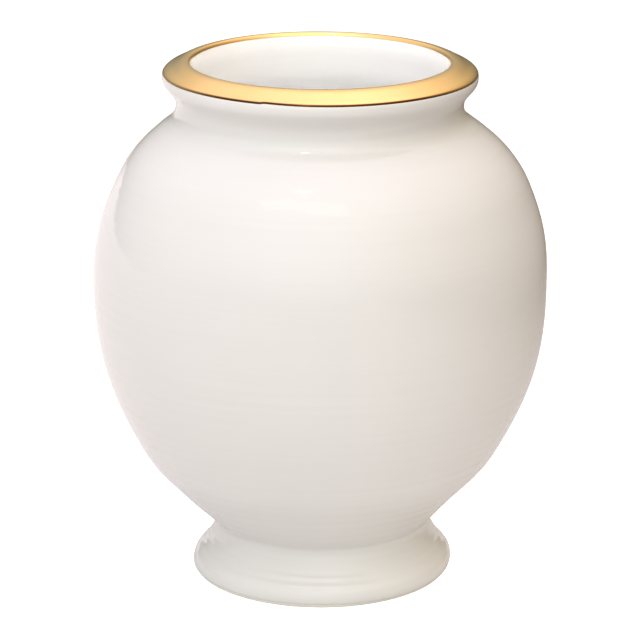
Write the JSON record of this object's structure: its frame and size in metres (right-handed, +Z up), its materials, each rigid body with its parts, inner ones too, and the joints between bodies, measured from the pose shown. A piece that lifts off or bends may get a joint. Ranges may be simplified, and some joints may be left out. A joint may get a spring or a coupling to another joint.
{
  "type": "footed porcelain vase with a gold rim",
  "caption": "Round-bellied footed porcelain vase with a wide mouth, a thick everted lip and a polished gold band over the lip.",
  "frame": {"origin": "centre of the foot's standing face, on the table plane", "axes": "+Z up along the vase's axis, from the foot to the mouth; X and Y are interchangeable"},
  "size_m": [0.1976, 0.1976, 0.23],
  "materials": {
    "clay": "bare fired porcelain, matt, wheel-turned",
    "slip": "bare fired slip, matt, wiped smooth",
    "outer_glaze": "glossy ivory glaze",
    "inner_glaze": "glossy white liner glaze",
    "gold": "polished gold lustre"
  },
  "bodies": {
    "root": {"vessel_body": "clay", "foot_ring": "clay", "foot_slip_joint": "slip", "outer_glaze": "outer_glaze", "inner_glaze": "inner_glaze", "foot_well_glaze": "inner_glaze", "gold_band": "gold"}
  },
  "joints": []
}
